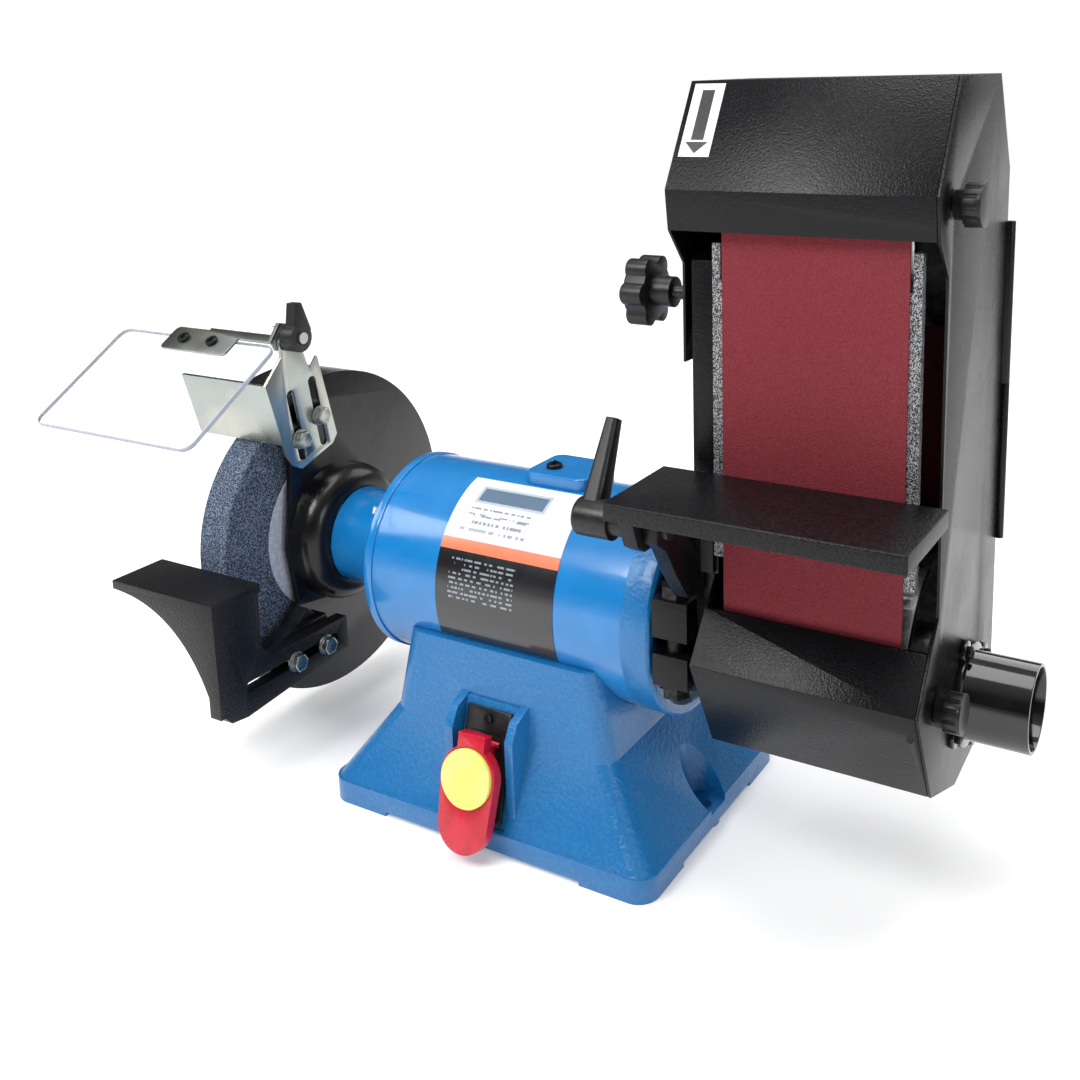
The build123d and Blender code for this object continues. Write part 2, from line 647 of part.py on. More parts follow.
with BuildPart() as arm_casting:
    rod(hub_x0, arm_x0, hub_out)
    profile(arm_x0, arm_x1, [(-52, 150), (-56, 200), (-56, 380), (-30, 400), (30, 400), (34, 380),
                             (44, 200), (50, 150), (34, 108), (0, 98), (-34, 108)])
    profile(hub_x0 + 8, arm_x0, [(-8, 200), (8, 200), (4, 285), (-4, 285)])
    block(arm_x0, 151, -57, -49, 200, 380)
    block(hub_x0, arm_x0, ear_y, -30, 128, 182)
    block(arm_x1, carriage_x1, -8, 8, spring_z0 - 7, spring_z0)
    for side in (-1, 1):
        block(arm_x1, carriage_x1, side * 26 - 3, side * 26 + 3, 372, 398)
    rod(hub_x0 - 1, arm_x1 + 1, hub_in, mode=Mode.SUBTRACT)
    block(hub_x0 - 1, arm_x0, ear_y - 1, 0, 148, 158, mode=Mode.SUBTRACT)
    upright(120, 190, 5.2, clamp_x, clamp_y, mode=Mode.SUBTRACT)
    rod(arm_x0 - 1, arm_x1 + 1, 4.4, knob_y, knob_z, mode=Mode.SUBTRACT)
save(arm_casting, "arm_casting")

with BuildPart() as clamp_bolt:
    upright(124, 186, 5.0, clamp_x, clamp_y)
    for z0 in (182, 120):
        with BuildSketch(Plane.XY.offset(z0)):
            with Locations((clamp_x, clamp_y)):
                RegularPolygon(7.5, 6, major_radius=False)
        extrude(amount=8)
save(clamp_bolt, "clamp_bolt")

hood_line = [(-42, 476), (-76, 420), (-73, 398), (-56, 378), (-56, 322), (back_y, 322), (back_y, 423),
             (39, 476)]
low_line = [(-56, 199), (-69, 184), (-90, 158), (-61, 99), (-12, 80), (34, 84), (back_y, 124), (back_y,
                                                                                                199)]


def folded_sheet(x0, line, cut_z0, cut_z1):
    """sheet steel casing closed on its left, open towards the door and between two heights"""
    with BuildPart() as body:
        profile(x0, door_in - 0.4, line)
        with BuildSketch(Plane.YZ.offset(x0 + sheet)) as inside:
            with BuildLine():
                Polyline(*line, close=True)
            make_face()
            offset(amount=-sheet, kind=Kind.INTERSECTION, mode=Mode.REPLACE)
        extrude(inside.sketch, amount=belt_w * 2, mode=Mode.SUBTRACT)
        block(x0 + sheet, door_in, -100, back_y - sheet, cut_z0, cut_z1, mode=Mode.SUBTRACT)
    return body.part


knob_at = ((-50.0, 414.0), (-57.0, 149.0))
tab_x = 269.0
with BuildPart() as upper_hood:
    add(folded_sheet(house_left, hood_line, 320, 398))
    block(tab_x, tab_x + 3, -74.2, -40, 406, 422)
    rod(tab_x - 1, tab_x + 4, 3.6, *knob_at[0], mode=Mode.SUBTRACT)
    rod(house_left - 1, house_left + 3, 5, knob_y, knob_z, mode=Mode.SUBTRACT)
save(upper_hood, "upper_hood")

with BuildPart() as lower_hood:
    add(folded_sheet(house_low_left + 0.1, low_line, 184, 201))
    block(tab_x, tab_x + 3, -84.5, -46, 141, 157)
    rod(tab_x - 1, tab_x + 4, 3.6, *knob_at[1], mode=Mode.SUBTRACT)
    rod(house_low_left - 1, house_low_left + 3, 30, mode=Mode.SUBTRACT)
save(lower_hood, "lower_hood")

hinge_x, hinge_y, knuckle_r = 277.6, 71.2, 2.6
hinge_z0, hinge_z1 = 200.0, 392.0
hinge_mid = (hinge_z0 + hinge_z1) / 2
with BuildPart() as rear_cover:
    block(house_left, door_in - 0.4, back_y - sheet, back_y, 199, 322)
    block(256, hinge_x - 1.2, back_y, back_y + 1.2, hinge_z0, hinge_z1)
    upright(hinge_mid + 0.3, hinge_z1, knuckle_r, hinge_x, hinge_y)
    block(hinge_x - 2.4, hinge_x, back_y, hinge_y, hinge_mid + 0.3, hinge_z1)
    block(door_in - 0.3, hinge_x + 4, back_y - 3, back_y + 4, hinge_z0 - 1, hinge_mid + 0.3,
          mode=Mode.SUBTRACT)
    block(door_in - 0.3, hinge_x + 4, back_y - 3, back_y + 0.2, hinge_mid, hinge_z1, mode=Mode.SUBTRACT)
    upright(hinge_z0, hinge_z1, 1.2, hinge_x, hinge_y)
save(rear_cover, "rear_cover")

port_y, port_z = 8.0, 127.0
port_r, port_bore, port_end = 25.4, 23.2, 316.0
door_line = hood_line[:4] + low_line[:7] + [(back_y - 0.2, 423), (39, 476)]
with BuildPart() as side_door:
    profile(door_in, door_out, door_line)
    upright(hinge_z0, hinge_mid, knuckle_r, hinge_x, hinge_y)
    block(door_in, door_out, back_y - 4, hinge_y + 0.5, hinge_z0, hinge_mid)
    block(door_in, hinge_x, hinge_y - 0.9, hinge_y + 0.5, hinge_z0, hinge_mid)
    upright(hinge_z0 - 1, hinge_z1, 1.2 + run_fit, hinge_x, hinge_y, mode=Mode.SUBTRACT)
    rod(door_in - 1, door_out + 1, port_bore, port_y, port_z, mode=Mode.SUBTRACT)
    for y, z in knob_at:
        rod(door_in - 1, door_out + 1, 3.2, y, z, mode=Mode.SUBTRACT)
save(side_door, "side_door")

port_screw_angles = (20, 110, 200, 290)
with BuildPart() as dust_port:
    rod(door_out, door_out + 3, 30, port_y, port_z)
    for angle in port_screw_angles:
        y, z = on_circle(33, angle, port_z)
        rod(door_out, door_out + 3, 6.5, y + port_y, z)
    rod(door_out, port_end, port_r, port_y, port_z)
    rod(door_out - 1, port_end + 1, port_bore, port_y, port_z, mode=Mode.SUBTRACT)
save(dust_port, "dust_port")

with BuildPart() as port_screws:
    for angle in port_screw_angles:
        y, z = on_circle(33, angle, port_z)
        rod(door_out + 3, door_out + 6, 3.6, y + port_y, z)
save(port_screws, "port_screws")


def door_knob(y, z):
    """fluted thumb knob on a captive M6 stud"""
    with BuildPart() as body:
        rod(door_out + 0.6, door_out + 8, 7.5, y, z)
        rod(door_out + 6, door_out + 15, 11, y, z)
        for flute in range(12):
            fy, fz = on_circle(11.6, 30 * flute, z)
            rod(door_out + 5, door_out + 13, 1.5, fy + y, fz, mode=Mode.SUBTRACT)
        rod(tab_x - 1, door_out + 1, 3.0, y, z)
    return body


save(door_knob(*knob_at[0]), "upper_door_knob")
save(door_knob(*knob_at[1]), "lower_door_knob")

# ---- belt, platen and idler ---------------------------------------------------------------------
with BuildPart() as sanding_belt:
    mid_z = (shaft_z + idler_z) / 2
    belt_x0 = belt_x - belt_w / 2
    with BuildSketch(Plane.YZ.offset(belt_x0)):
        with Locations((0, mid_z)):
            SlotCenterToCenter(idler_z - shaft_z, 2 * (run_r + belt_t), rotation=90)
            SlotCenterToCenter(idler_z - shaft_z, 2 * run_r, rotation=90, mode=Mode.SUBTRACT)
    extrude(amount=belt_w)
save(sanding_belt, "sanding_belt")

platen_half, platen_front, platen_back = 57.0, -run_r + 0.2, -run_r + 5
with BuildPart() as platen:
    block(belt_x - platen_half, belt_x + platen_half, platen_front, platen_back, 214, 371)
    for x0, x1 in ((belt_x - platen_half, pulley_l - 0.5), (pulley_r + 0.5, belt_x + platen_half)):
        block(x0, x1, platen_front, platen_back, 371, 391)
    block(belt_x - platen_half, belt_x - 20, platen_back, -51, 236, 350)
save(platen, "platen")

with BuildPart() as tension_carriage:
    block(carriage_x0, carriage_x1, -22, 22, spring_z1, idler_z + 20)
    rod(carriage_x1, pulley_r + 3, 8, 0, idler_z)
    rod(pulley_r + 0.4, pulley_r + 3, 11, 0, idler_z)
save(tension_carriage, "tension_carriage")

save(pulley(8 + run_fit, idler_z), "idler_pulley")

with BuildPart() as tension_spring:
    with BuildLine():
        coil = Helix(pitch=3.4, height=spring_z1 - spring_z0 - 1.4, radius=2.2,
                     center=(151.8, 0, spring_z0 + 0.7))
    with BuildSketch(Plane(origin=coil @ 0, z_dir=coil % 0)):
        Circle(0.6)
    sweep(path=coil, is_frenet=True)
save(tension_spring, "tension_spring")

with BuildPart() as tracking_knob:
    knob_x0 = 86.0
    with BuildSketch(Plane.YZ.offset(knob_x0)):
        with Locations((knob_y, knob_z)):
            Circle(17)
            with PolarLocations(15, 6):
                Circle(6.5)
    extrude(amount=14)
    fillet(tracking_knob.edges().group_by(Axis.X)[0], 2)
    rod(knob_x0 + 14, 112, 9, knob_y, knob_z)
    rod(112, 147, 4.0, knob_y, knob_z)
save(tracking_knob, "tracking_knob")

# ---- table --------------------------------------------------------------------------------------
table_x0, table_x1 = 123.0, 283.0
table_y0, table_y1 = -137.0, -68.0
trunnion_x0, trunnion_t = 124.0, 9.0
with BuildPart() as work_table:
    block(table_x0, table_x1, table_y0, table_y1, table_top - table_t, table_top)
    chamfer(work_table.edges().filter_by(Axis.X).group_by(Axis.Z)[-1], 0.8)
    profile(trunnion_x0, trunnion_x0 + trunnion_t,
            [(-126, table_top - table_t), (-82, table_top - table_t), (-90, 234), (-98, 229), (-110, 229),
             (-118, 234)])
    rod(trunnion_x0 - 1, trunnion_x0 + 11, 5.0 + run_fit, table_pivot_y, table_pivot_z, mode=Mode.SUBTRACT)
save(work_table, "work_table")

bracket_x0 = trunnion_x0 + trunnion_t + 0.4
with BuildPart() as table_bracket:
    profile(bracket_x0, bracket_x0 + 9, [(-57.05, 188), (-57.05, 232), (-84, 240), (-92, 248), (-104, 252),
                                         (-114, 245), (-114, 236), (-104, 229), (-92, 210), (-78, 192)])
    block(bracket_x0, 150, -62, -57.05, 202, 234)
    rod(bracket_x0 - 1, bracket_x0 + 10, 5.0 + run_fit, table_pivot_y, table_pivot_z, mode=Mode.SUBTRACT)
save(table_bracket, "table_bracket")

with BuildPart() as table_lever:
    rod(110, 123.4, 8, table_pivot_y, table_pivot_z)
    rod(88, 111, 11, table_pivot_y, table_pivot_z)
    fillet(table_lever.edges().group_by(Axis.X)[0], 3)
    rod(120, bracket_x0 + 12, 5.0, table_pivot_y, table_pivot_z)
    lever = Vector(0, 22, 42).normalized()
    foot = Vector(97, table_pivot_y, table_pivot_z) + lever * 6
    with BuildSketch(Plane(origin=foot, x_dir=(1, 0, 0), z_dir=lever)) as lever_low:
        RectangleRounded(13, 15, 4)
    with BuildSketch(Plane(origin=foot + lever * 50, x_dir=(1, 0, 0), z_dir=lever)) as lever_high:
        RectangleRounded(8, 9, 3)
    loft([lever_low.sketch.faces()[0], lever_high.sketch.faces()[0]])
save(table_lever, "table_lever")
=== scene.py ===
import math
import bpy
from mathutils import Matrix, Vector
import json


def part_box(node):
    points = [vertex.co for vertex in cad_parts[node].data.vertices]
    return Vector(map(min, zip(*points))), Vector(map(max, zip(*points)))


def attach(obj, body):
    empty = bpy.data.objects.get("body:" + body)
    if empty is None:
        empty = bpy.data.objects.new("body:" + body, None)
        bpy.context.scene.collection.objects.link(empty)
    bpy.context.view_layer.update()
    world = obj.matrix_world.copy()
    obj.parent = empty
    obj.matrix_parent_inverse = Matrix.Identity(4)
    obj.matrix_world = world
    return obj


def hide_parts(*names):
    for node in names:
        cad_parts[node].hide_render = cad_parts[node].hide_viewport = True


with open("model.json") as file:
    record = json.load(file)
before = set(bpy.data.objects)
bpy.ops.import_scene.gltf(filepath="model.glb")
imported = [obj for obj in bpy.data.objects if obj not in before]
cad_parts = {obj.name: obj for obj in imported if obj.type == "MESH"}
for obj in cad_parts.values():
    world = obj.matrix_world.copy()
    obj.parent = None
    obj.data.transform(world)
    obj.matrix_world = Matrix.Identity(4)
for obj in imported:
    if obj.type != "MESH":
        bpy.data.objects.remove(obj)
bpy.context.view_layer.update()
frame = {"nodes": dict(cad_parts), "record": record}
print("frame loaded")

cameraSettings = {
    "place": (0.4350, -0.6599, 0.4824),
    "turn": 30.70,
    "lookDown": 11.21,
    "roll": -1.46,
    "lens": 41.33,
    "shift": (-0.0556, -0.2065),
}


def makeCamera(settings):
    data = bpy.data.cameras.new("studioCamera")
    data.lens = settings["lens"]
    data.sensor_width = 36
    data.shift_x, data.shift_y = settings["shift"]
    data.clip_start, data.clip_end = 0.01, 60
    camera = bpy.data.objects.new("studioCamera", data)
    bpy.context.scene.collection.objects.link(camera)
    turn = Matrix.Rotation(math.radians(settings["turn"]), 4, "Z")
    tip = Matrix.Rotation(math.radians(90 - settings["lookDown"]), 4, "X")
    roll = Matrix.Rotation(math.radians(settings["roll"]), 4, "Z")
    camera.matrix_world = Matrix.Translation(settings["place"]) @ turn @ tip @ roll
    bpy.context.scene.camera = camera


studio = {
    "floorSize": 40,
    "floorColour": (0.9, 0.9, 0.9, 1),
    "floorRoughness": 0.9,
    "skyBands": ((0.0, 0.45), (0.09, 0.45), (0.15, 0.07), (0.55, 0.10), (0.8, 0.45), (1.0, 0.7)),   # height, glow
    "skyStrength": 1.0,
    "sunStrength": 1.7,
    "sunSpread": 40,
    "floorGlow": 0.25,
    "lamps": (
        ("keyLamp", (-0.34, -1.07, 1.33), 0.6, 13),
        ("leftLamp", (-1.3, -0.9, 1.2), 0.7, 8),
        ("rightLamp", (1.7, -0.7, 0.9), 0.7, 7),
        ("backLamp", (0.5, 1.5, 1.2), 1.0, 9),
    ),
    "aim": (0, 0, 0.2),
}


def makeStudio(settings):
    bpy.ops.mesh.primitive_plane_add(size=settings["floorSize"])
    floor = bpy.context.object
    floor.name = "studioFloor"
    paint = bpy.data.materials.new("floorPaint")
    paint.use_nodes = True
    shader = paint.node_tree.nodes["Principled BSDF"]
    shader.inputs["Base Color"].default_value = settings["floorColour"]
    shader.inputs["Roughness"].default_value = settings["floorRoughness"]
    shader.inputs["Emission Color"].default_value = (1, 1, 1, 1)
    shader.inputs["Emission Strength"].default_value = settings["floorGlow"]
    floor.data.materials.append(paint)
    world = bpy.data.worlds.new("studioSky")
    bpy.context.scene.world = world
    world.use_nodes = True
    nodes, links = world.node_tree.nodes, world.node_tree.links
    where = nodes.new("ShaderNodeTexCoord")
    split = nodes.new("ShaderNodeSeparateXYZ")
    ramp = nodes.new("ShaderNodeValToRGB")
    links.new(where.outputs["Generated"], split.inputs[0])
    links.new(split.outputs["Z"], ramp.inputs[0])
    bands = ramp.color_ramp.elements
    while len(bands) < len(settings["skyBands"]):
        bands.new(0.5)
    for band, (height, glow) in zip(bands, settings["skyBands"]):
        band.position = height
        band.color = (glow, glow, glow, 1)
    seen = nodes.new("ShaderNodeLightPath")
    backdrop = nodes.new("ShaderNodeMix")
    backdrop.data_type = "RGBA"
    links.new(seen.outputs["Is Camera Ray"], backdrop.inputs["Factor"])
    links.new(ramp.outputs[0], backdrop.inputs[6])
    backdrop.inputs[7].default_value = (1, 1, 1, 1)     # plain white wall behind the floor
    links.new(backdrop.outputs[2], nodes["Background"].inputs["Color"])
    nodes["Background"].inputs["Strength"].default_value = settings["skyStrength"]
    sun = bpy.data.lights.new("ceilingLight", "SUN")
    sun.energy = settings["sunStrength"]
    sun.angle = math.radians(settings["sunSpread"])
    bpy.context.scene.collection.objects.link(bpy.data.objects.new("ceilingLight", sun))
    for name, place, size, watts in settings["lamps"]:
        data = bpy.data.lights.new(name, "AREA")
        data.shape = "SQUARE"
        data.size = size
        data.energy = watts
        lamp = bpy.data.objects.new(name, data)
        bpy.context.scene.collection.objects.link(lamp)
        lamp.location = place
        lamp.rotation_euler = (Vector(settings["aim"]) - Vector(place)).to_track_quat("-Z", "Y").to_euler()
    bpy.context.scene.view_settings.view_transform = "Standard"


makeCamera(cameraSettings)
makeStudio(studio)
print("studio set")


def startGroup(name, inputs, outputs):
    group = bpy.data.node_groups.new(name, "ShaderNodeTree")
    for label, kind, value in inputs:
        socket = group.interface.new_socket(label, in_out="INPUT", socket_type=kind)
        socket.default_value = value
    for label, kind in outputs:
        group.interface.new_socket(label, in_out="OUTPUT", socket_type=kind)
    nodes = group.nodes
    return group, nodes.new("NodeGroupInput"), nodes.new("NodeGroupOutput")


def addNode(tree, kind, **settings):
    node = tree.nodes.new(kind)
    for name, value in settings.items():
        setattr(node, name, value)
    return node


def makeSurfaceGroup():
    group, given, result = startGroup(
        "surfaceSkin",
        (("Grain", "NodeSocketFloat", 400.0), ("Depth", "NodeSocketFloat", 0.0001),
         ("Smoothest", "NodeSocketFloat", 0.2), ("Roughest", "NodeSocketFloat", 0.3),
         ("Patch", "NodeSocketFloat", 25.0)),
        (("Roughness", "NodeSocketFloat"), ("Normal", "NodeSocketVector")))
    link = group.links.new
    where = addNode(group, "ShaderNodeTexCoord")
    fine = addNode(group, "ShaderNodeTexNoise")
    fine.inputs["Detail"].default_value = 3
    link(where.outputs["Object"], fine.inputs["Vector"])
    link(given.outputs["Grain"], fine.inputs["Scale"])
    bump = addNode(group, "ShaderNodeBump")
    bump.inputs["Strength"].default_value = 1
    link(given.outputs["Depth"], bump.inputs["Distance"])
    link(fine.outputs["Fac"], bump.inputs["Height"])
    broad = addNode(group, "ShaderNodeTexNoise")
    broad.inputs["Detail"].default_value = 5
    link(where.outputs["Object"], broad.inputs["Vector"])
    link(given.outputs["Patch"], broad.inputs["Scale"])
    spread = addNode(group, "ShaderNodeMapRange")
    spread.inputs["From Min"].default_value = 0.35
    spread.inputs["From Max"].default_value = 0.65
    link(broad.outputs["Fac"], spread.inputs["Value"])
    link(given.outputs["Smoothest"], spread.inputs["To Min"])
    link(given.outputs["Roughest"], spread.inputs["To Max"])
    link(spread.outputs["Result"], result.inputs["Roughness"])
    link(bump.outputs["Normal"], result.inputs["Normal"])
    return group


def makeSpeckGroup():
    group, given, result = startGroup(
        "speckle",
        (("Size", "NodeSocketFloat", 800.0), ("Share", "NodeSocketFloat", 0.5), ("Blur", "NodeSocketFloat", 0.05),
         ("Ground", "NodeSocketColor", (0.1, 0.1, 0.1, 1)), ("Speck", "NodeSocketColor", (0.8, 0.8, 0.8, 1))),
        (("Color", "NodeSocketColor"), ("Mask", "NodeSocketFloat")))
    link = group.links.new
    where = addNode(group, "ShaderNodeTexCoord")
    cells = addNode(group, "ShaderNodeTexNoise")
    cells.inputs["Detail"].default_value = 2
    link(where.outputs["Object"], cells.inputs["Vector"])
    link(given.outputs["Size"], cells.inputs["Scale"])
    edge = addNode(group, "ShaderNodeMath", operation="ADD")
    link(given.outputs["Share"], edge.inputs[0])
    link(given.outputs["Blur"], edge.inputs[1])
    pick = addNode(group, "ShaderNodeMapRange", interpolation_type="SMOOTHSTEP")
    link(cells.outputs["Fac"], pick.inputs["Value"])
    link(given.outputs["Share"], pick.inputs["From Min"])
    link(edge.outputs[0], pick.inputs["From Max"])
    mix = addNode(group, "ShaderNodeMix", data_type="RGBA")
    link(pick.outputs["Result"], mix.inputs["Factor"])
    link(given.outputs["Ground"], mix.inputs[6])
    link(given.outputs["Speck"], mix.inputs[7])
    link(mix.outputs[2], result.inputs["Color"])
    link(pick.outputs["Result"], result.inputs["Mask"])
    return group


surfaceSkin = makeSurfaceGroup()
speckle = makeSpeckGroup()


def startMaterial(name, **fixed):
    material = bpy.data.materials.new(name)
    material.use_nodes = True
    shader = material.node_tree.nodes["Principled BSDF"]
    for label, value in fixed.items():
        shader.inputs[label.replace("_", " ")].default_value = value
    return material, material.node_tree, shader


def placeGroup(tree, group, **values):
    node = addNode(tree, "ShaderNodeGroup", node_tree=group)
    for label, value in values.items():
        node.inputs[label].default_value = value
    return node


def addSkin(tree, shader, **values):
    skin = placeGroup(tree, surfaceSkin, **values)
    tree.links.new(skin.outputs["Roughness"], shader.inputs["Roughness"])
    tree.links.new(skin.outputs["Normal"], shader.inputs["Normal"])
    return skin


def addSpeckle(tree, shader, size, share, blur, ground, speck):
    spots = placeGroup(tree, speckle, Size=size, Share=share, Blur=blur, Ground=(*ground, 1), Speck=(*speck, 1))
    tree.links.new(spots.outputs["Color"], shader.inputs["Base Color"])
    return spots


# how strongly the duller finishes mirror the room; the rest keep the plain value
plainShine = 0.5
shine = {"blackWrinkle": 0.24, "blackTable": 0.24, "blackGloss": 0.28, "blackPlastic": 0.4, "vitrifiedGrit": 0.2,
         "beltGrit": 0.2, "blackSteel": 0.4}
# name: (ground colour, speck colour, speck scale, share, blur, metallic, grain, depth, smoothest, roughest, coat)
finishes = {
    "blueEnamel": ((0.007, 0.185, 0.50), (0.010, 0.20, 0.53), 60, 0.45, 0.2, 0, 90, 0.00006, 0.16, 0.24, 0.5),
    "blueCast": ((0.005, 0.14, 0.375), (0.009, 0.165, 0.42), 420, 0.42, 0.25, 0, 430, 0.0005, 0.28, 0.38, 0.25),
    "blackGloss": ((0.004, 0.004, 0.005), (0.007, 0.007, 0.008), 90, 0.45, 0.2, 0, 130, 0.00012, 0.2, 0.3, 0.15),
    "blackWrinkle": ((0.003, 0.003, 0.004), (0.006, 0.006, 0.007), 800, 0.45, 0.15, 0, 850, 0.00024, 0.22, 0.3, 0),
    "blackTable": ((0.004, 0.004, 0.005), (0.010, 0.010, 0.011), 600, 0.45, 0.15, 0, 620, 0.0004, 0.3, 0.4, 0),
    # black hammered paint; its bright grey specks are painted reflection glints, and the black ground is the
    # paint's own colour
    "hammertone": ((0.02, 0.02, 0.022), (0.40, 0.40, 0.42), 1500, 0.49, 0.06, 0.2, 1100, 0.0003, 0.3, 0.45, 0),
    "zincPlate": ((0.36, 0.39, 0.37), (0.44, 0.44, 0.39), 35, 0.42, 0.2, 1, 900, 0.00003, 0.22, 0.36, 0),
    "turnedSteel": ((0.42, 0.42, 0.43), (0.55, 0.55, 0.56), 120, 0.45, 0.15, 1, 900, 0.00003, 0.24, 0.36, 0),
    "blackSteel": ((0.010, 0.010, 0.011), (0.03, 0.03, 0.032), 300, 0.45, 0.2, 0.6, 700, 0.0001, 0.3, 0.42, 0),
    "castAluminium": ((0.45, 0.45, 0.46), (0.6, 0.6, 0.61), 160, 0.45, 0.15, 1, 700, 0.0001, 0.32, 0.46, 0),
    "lamination": ((0.12, 0.12, 0.13), (0.2, 0.2, 0.21), 300, 0.45, 0.15, 1, 900, 0.0001, 0.4, 0.5, 0),
    "copperWire": ((0.35, 0.13, 0.05), (0.55, 0.24, 0.11), 300, 0.45, 0.15, 1, 900, 0.0002, 0.3, 0.4, 0),
    "vitrifiedGrit": ((0.035, 0.05, 0.085), (0.22, 0.27, 0.36), 1050, 0.47, 0.12, 0, 800, 0.0010, 0.7, 0.85, 0),
    "beltGrit": ((0.17, 0.021, 0.030), (0.235, 0.035, 0.046), 2200, 0.45, 0.12, 0, 1300, 0.0005, 0.65, 0.8, 0),
    "blotterCard": ((0.50, 0.54, 0.66), (0.62, 0.66, 0.76), 300, 0.45, 0.15, 0, 700, 0.0001, 0.7, 0.85, 0),
    "blackPlastic": ((0.008, 0.008, 0.009), (0.014, 0.014, 0.015), 300, 0.45, 0.2, 0, 900, 0.00008, 0.3, 0.42, 0),
    "blackGlossPlastic": ((0.004, 0.004, 0.005), (0.007, 0.007, 0.008), 60, 0.45, 0.2, 0, 80, 0.00005,
                          0.08, 0.14, 0.3),
    "redPlastic": ((0.50, 0.004, 0.02), (0.60, 0.007, 0.03), 60, 0.45, 0.2, 0, 500, 0.00004, 0.22, 0.32, 0.2),
    "labelWhite": ((0.80, 0.80, 0.80), (0.84, 0.84, 0.84), 200, 0.45, 0.2, 0, 300, 0.00001, 0.25, 0.35, 0.3),
    "labelInk": ((0.008, 0.008, 0.009), (0.012, 0.012, 0.013), 200, 0.45, 0.2, 0, 300, 0.00001, 0.25, 0.35, 0.3),
    "yellowPlastic": ((0.80, 0.76, 0.16), (0.86, 0.82, 0.22), 60, 0.45, 0.2, 0, 500, 0.00004, 0.28, 0.38, 0.1),
}


def makeFinish(name):
    ground, speck, size, share, blur, metallic, grain, depth, smoothest, roughest, coat = finishes[name]
    material, tree, shader = startMaterial(name, Metallic=metallic, Coat_Weight=coat, Coat_Roughness=0.08,
                                           Specular_IOR_Level=shine.get(name, plainShine))
    addSpeckle(tree, shader, size, share, blur, ground, speck)
    addSkin(tree, shader, Grain=grain, Depth=depth, Smoothest=smoothest, Roughest=roughest)
    return material


materials = {name: makeFinish(name) for name in finishes}


def makeAcrylic(name, settings):
    material, tree, shader = startMaterial(name, **settings["fixed"])
    addSkin(tree, shader, **settings["skin"])
    return material


materials["clearAcrylic"] = makeAcrylic("clearAcrylic", {
    "fixed": {"Base_Color": (0.97, 0.98, 0.99, 1), "IOR": 1.08, "Transmission_Weight": 1.0},
    "skin": {"Grain": 40, "Depth": 0.000002, "Smoothest": 0.0, "Roughest": 0.04, "Patch": 22}})
materials["polishedEdge"] = makeAcrylic("polishedEdge", {
    "fixed": {"Base_Color": (0.45, 0.49, 0.57, 1), "IOR": 1.3, "Transmission_Weight": 0.2},
    "skin": {"Grain": 300, "Depth": 0.00002, "Smoothest": 0.15, "Roughest": 0.3}})


labelPrint = {
    "axisHeight": 0.150,
    "orangeBand": (28.5, 35.0),
    "badge": (57.0, 69.5, -0.034, 0.020),
    "badgeRim": (1.6, 0.0020),
    "rows": ((39.0, 54.0, 4.4), (2.0, 26.0, 2.6)),
    "rowSpan": (-0.036, 0.014),
    "dashes": {"scale": 420, "rowStep": 7.3, "height": 0.42, "share": 0.47},
    "white": (0.72, 0.75, 0.82, 1),
    "orange": (0.86, 0.19, 0.09, 1),
    "black": (0.010, 0.010, 0.012, 1),
    "ink": (0.26, 0.28, 0.32, 1),
    "badgeColour": (0.10, 0.16, 0.24, 1),
    "badgeEdge": (0.45, 0.50, 0.58, 1),
}


